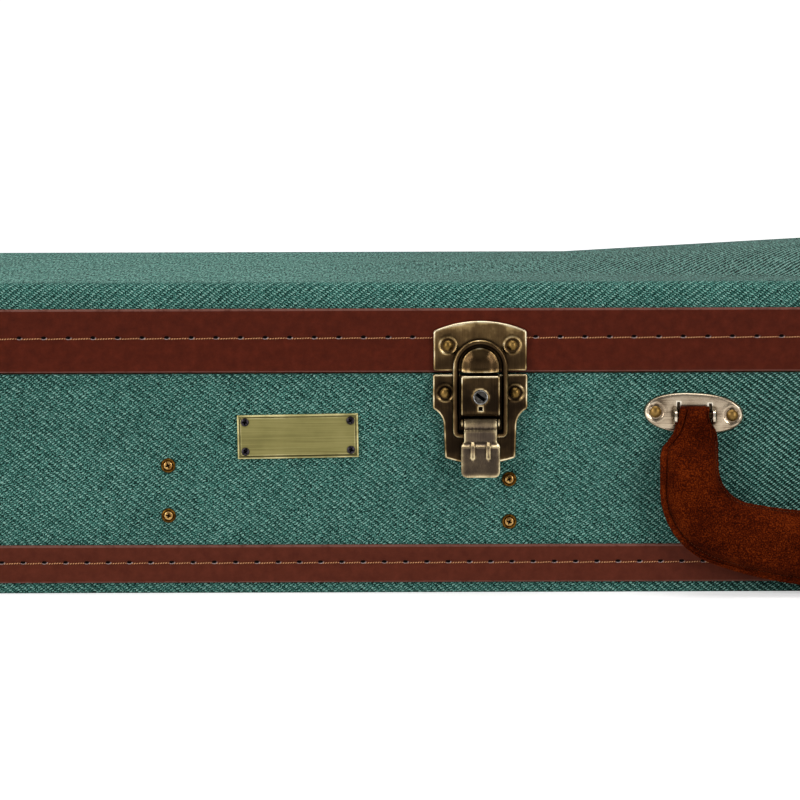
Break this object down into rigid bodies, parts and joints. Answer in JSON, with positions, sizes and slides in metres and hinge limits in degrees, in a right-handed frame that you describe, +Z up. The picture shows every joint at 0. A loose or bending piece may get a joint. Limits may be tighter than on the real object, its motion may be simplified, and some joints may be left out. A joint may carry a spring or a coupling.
{
  "type": "banjo case",
  "caption": "Keyhole-shaped hard banjo case in green cloth with brown leather bands, arched hinged lid, draw latches, suede handle and plush-lined inside.",
  "frame": {"origin": "middle of the case's length and width, on the plane that it rests on", "axes": "+X along the case to the round pot end, -Y the front wall with latches and handle, +Z up out of the lid"},
  "size_m": [1.0843, 0.4033, 0.1656],
  "materials": {
    "green_cloth": "twill tweed",
    "brown_leather": "smooth, stitched",
    "plush": "short pile plush",
    "plywood": "bare birch plywood",
    "suede": "suede",
    "leather_core": "rough leather strap",
    "chrome": "polished",
    "black_steel": "black oxide",
    "brushed_brass": "brushed antique",
    "brass_rivet": "aged",
    "handle_brass": "pale satin antique",
    "antique_brass": "antique, worn edges"
  },
  "bodies": {
    "base": {"base_bottom_panel": "plywood", "base_cloth_bottom": "green_cloth", "base_cloth_sides": "green_cloth", "base_leather_band": "brown_leather", "base_lining": "plush", "base_valance": "plush", "base_wall_head": "plywood", "base_wall_neck_back": "plywood", "base_wall_neck_front": "plywood", "base_wall_pot": "plywood", "compartment_pivot_pins": "antique_brass", "compartment_rails": "plywood", "handle_bracket_left": "handle_brass", "handle_bracket_right": "handle_brass", "handle_pins": "antique_brass", "handle_rivets": "brass_rivet", "head_partition": "plywood", "hinge_base_leaves": "antique_brass", "hinge_base_rivets": "brass_rivet", "hinge_pins": "antique_brass", "latch_base_rivets": "brass_rivet", "latch_head_plate": "antique_brass", "latch_neck_plate": "antique_brass", "latch_pivot_pins": "antique_brass", "latch_pot_plate": "antique_brass", "latch_tail_plate": "antique_brass", "name_plate": "brushed_brass", "name_plate_screws": "black_steel", "neck_floor_pad": "plush", "neck_partition": "plywood", "neck_saddle_pads": "plush", "partition_cup_washers": "brass_rivet", "partition_screws": "brass_rivet", "pot_cradle_pad": "plush", "pot_floor_pad": "plush"},
    "lid": {"lid_side_wall": "plywood", "lid_top_panel": "plywood", "lid_cloth_cover": "green_cloth", "lid_leather_band": "brown_leather", "lid_lining": "plush", "latch_strike_plates": "antique_brass", "latch_strike_rivets": "brass_rivet", "hinge_lid_leaves": "antique_brass", "hinge_lid_rivets": "brass_rivet"},
    "handle": {"handle_cover": "suede", "handle_core": "leather_core"},
    "compartment_lid": {"compartment_lid": "plush", "compartment_pull_tab": "brown_leather"},
    "key_cylinder": {"latch_key_cylinder": "chrome"},
    "lever_head": {"latch_head_lever": "antique_brass"},
    "bail_head": {"latch_head_bail": "antique_brass"},
    "lever_neck": {"latch_neck_lever": "antique_brass"},
    "bail_neck": {"latch_neck_bail": "antique_brass"},
    "lever_pot": {"latch_pot_lever": "antique_brass"},
    "bail_pot": {"latch_pot_bail": "antique_brass"},
    "lever_tail": {"latch_tail_lever": "antique_brass"},
    "bail_tail": {"latch_tail_bail": "antique_brass"}
  },
  "joints": [
    {"name": "lid_hinge", "type": "hinge", "parent": "base", "child": "lid", "pos_m": [0.33, 0.1961, 0.0978], "axis": [-1, 0, 0], "range_deg": [0, 105]},
    {"name": "compartment_hinge", "type": "hinge", "parent": "base", "child": "compartment_lid", "pos_m": [-0.194, 0.088, 0.0605], "axis": [-1, 0, 0], "range_deg": [0, 90]},
    {"name": "handle_swing", "type": "hinge", "parent": "base", "child": "handle", "pos_m": [0.032, -0.1115, 0.079], "axis": [-1, 0, 0], "range_deg": [0, 150]},
    {"name": "lever_head_pivot", "type": "hinge", "parent": "base", "child": "lever_head", "pos_m": [-0.44, -0.1133, 0.0765], "axis": [-1, 0, 0], "range_deg": [0, 110]},
    {"name": "bail_head_pivot", "type": "hinge", "parent": "lever_head", "child": "bail_head", "pos_m": [-0.44, -0.1123, 0.0711], "axis": [-1, 0, 0], "range_deg": [-132, 0]},
    {"name": "lever_neck_pivot", "type": "hinge", "parent": "base", "child": "lever_neck", "pos_m": [-0.1317, -0.1133, 0.0765], "axis": [-1, 0, 0], "range_deg": [0, 110]},
    {"name": "bail_neck_pivot", "type": "hinge", "parent": "lever_neck", "child": "bail_neck", "pos_m": [-0.1317, -0.1123, 0.0711], "axis": [-1, 0, 0], "range_deg": [-132, 0]},
    {"name": "lever_pot_pivot", "type": "hinge", "parent": "base", "child": "lever_pot", "pos_m": [0.33, -0.2003, 0.0765], "axis": [-1, 0, 0], "range_deg": [0, 110]},
    {"name": "bail_pot_pivot", "type": "hinge", "parent": "lever_pot", "child": "bail_pot", "pos_m": [0.33, -0.1993, 0.0711], "axis": [-1, 0, 0], "range_deg": [-132, 0]},
    {"name": "lever_tail_pivot", "type": "hinge", "parent": "base", "child": "lever_tail", "pos_m": [0.5433, 0, 0.0765], "axis": [0, -1, 0], "range_deg": [0, 110]},
    {"name": "bail_tail_pivot", "type": "hinge", "parent": "lever_tail", "child": "bail_tail", "pos_m": [0.5423, 0, 0.0711], "axis": [0, -1, 0], "range_deg": [-132, 0]},
    {"name": "key_turn", "type": "hinge", "parent": "base", "child": "key_cylinder", "pos_m": [-0.1317, -0.1142, 0.088], "axis": [0, -1, 0], "range_deg": [0, 90]}
  ],
  "couplings": [
    {"joint": "compartment_hinge", "follows": "lid_hinge", "ratio": 0.85},
    {"joint": "bail_head_pivot", "follows": "lever_head_pivot", "ratio": -1.18},
    {"joint": "bail_neck_pivot", "follows": "lever_neck_pivot", "ratio": -1.18},
    {"joint": "bail_pot_pivot", "follows": "lever_pot_pivot", "ratio": -1.18},
    {"joint": "bail_tail_pivot", "follows": "lever_tail_pivot", "ratio": -1.18}
  ]
}
